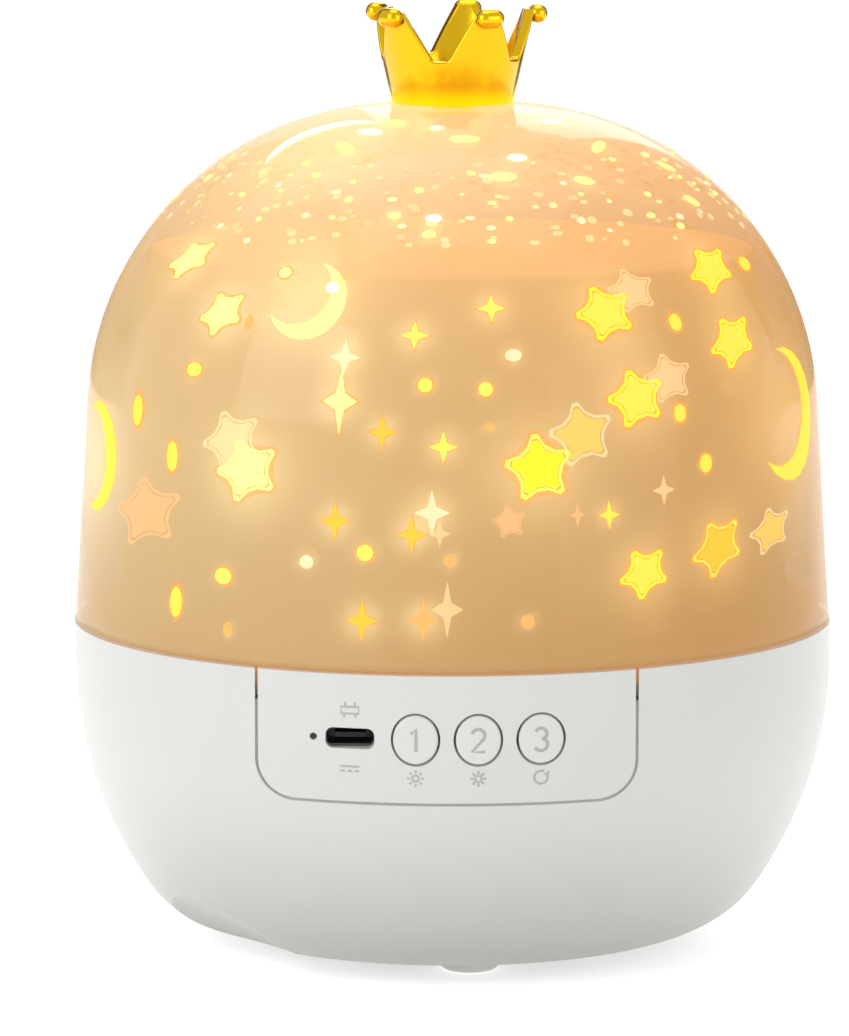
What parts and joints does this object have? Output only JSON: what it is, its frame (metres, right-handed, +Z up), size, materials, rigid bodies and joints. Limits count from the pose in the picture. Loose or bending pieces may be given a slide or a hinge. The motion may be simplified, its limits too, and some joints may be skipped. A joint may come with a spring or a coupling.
{
  "type": "night light projector",
  "caption": "Night light projector: white bowl base with a button panel and charging socket, a turning clear dome with a star film inside, and a gold crown on top.",
  "frame": {"origin": "on the floor under the middle of the feet", "axes": "+Z up along the dome's axis, -Y out of the control panel, +X to the right as seen from the panel"},
  "size_m": [0.117, 0.117, 0.145],
  "materials": {
    "base_white": "satin",
    "panel_white": "satin",
    "button_white": "satin",
    "cover_white": "matte",
    "foot_rubber": "matte",
    "dome_clear": "clear gloss, lit from inside",
    "collar_clear": "clear gloss",
    "film_print": "printed film, lit from inside",
    "crown_gold": "plated, bright",
    "inner_white": "matte",
    "gear_white": "matte",
    "washer_white": "matte",
    "screw_steel": "plain",
    "socket_steel": "plain",
    "motor_steel": "plain",
    "gearbox_brass": "plain",
    "board_green": "solder mask",
    "dark_plastic": "matte",
    "connector_ivory": "matte",
    "battery_wrap": "shrink wrap",
    "foam_grey": "open foam",
    "cable_black": "matte",
    "emitter_yellow": "light source",
    "lens_clear": "clear gloss",
    "pipe_clear": "clear gloss, unlit"
  },
  "bodies": {
    "base": {"base_shell": "base_white", "bottom_cover": "cover_white", "feet": "foot_rubber", "cover_screws": "screw_steel", "battery_cradle": "inner_white", "battery_cell": "battery_wrap", "battery_protection_board": "board_green", "foam_pad": "foam_grey", "deck": "inner_white", "deck_screws": "screw_steel", "thrust_washer": "washer_white", "retainer_clips": "inner_white", "clip_screws": "screw_steel", "drive_motor": "motor_steel", "motor_gearbox": "gearbox_brass", "motor_cap": "dark_plastic", "motor_screws": "screw_steel", "led_board": "inner_white", "led_emitters": "emitter_yellow", "led_lens": "lens_clear", "led_screws": "screw_steel", "control_panel": "panel_white", "tact_switches": "dark_plastic", "control_board": "board_green", "board_screws": "screw_steel", "control_chip": "dark_plastic", "usb_shell": "socket_steel", "usb_tongue": "dark_plastic", "indicator_led": "emitter_yellow", "light_pipe": "pipe_clear", "board_connectors": "connector_ivory", "battery_cable": "cable_black", "motor_cable": "cable_black", "led_cable": "cable_black"},
    "turntable": {"turntable": "inner_white", "ring_gear": "gear_white"},
    "dome": {"dome_shell": "dome_clear", "dome_collar": "collar_clear", "film_sleeve": "film_print", "film_cap": "film_print", "crown": "crown_gold", "crown_screw": "screw_steel", "crown_washer": "screw_steel"},
    "pinion": {"drive_pinion": "gear_white", "pinion_shaft": "motor_steel"},
    "button_1": {"button_1": "button_white", "switch_plunger_1": "dark_plastic"},
    "button_2": {"button_2": "button_white", "switch_plunger_2": "dark_plastic"},
    "button_3": {"button_3": "button_white", "switch_plunger_3": "dark_plastic"}
  },
  "joints": [
    {"name": "turntable_spin", "type": "hinge", "parent": "base", "child": "turntable", "pos_m": [0, 0, 0.048], "axis": [0, 0, 1], "continuous": true},
    {"name": "dome_lift", "type": "slide", "parent": "turntable", "child": "dome", "axis": [0, 0, 1], "range_m": [0, 0.08]},
    {"name": "pinion_spin", "type": "hinge", "parent": "base", "child": "pinion", "pos_m": [0, 0.032, 0.036], "axis": [0, 0, 1], "continuous": true},
    {"name": "button_1_press", "type": "slide", "parent": "base", "child": "button_1", "axis": [0, 1, 0], "range_m": [0, 0.0005], "stiffness_N_per_m": 2000},
    {"name": "button_2_press", "type": "slide", "parent": "base", "child": "button_2", "axis": [0, 1, 0], "range_m": [0, 0.0005], "stiffness_N_per_m": 2000},
    {"name": "button_3_press", "type": "slide", "parent": "base", "child": "button_3", "axis": [0, 1, 0], "range_m": [0, 0.0005], "stiffness_N_per_m": 2000}
  ],
  "couplings": [
    {"joint": "pinion_spin", "follows": "turntable_spin", "ratio": 6.3333}
  ]
}
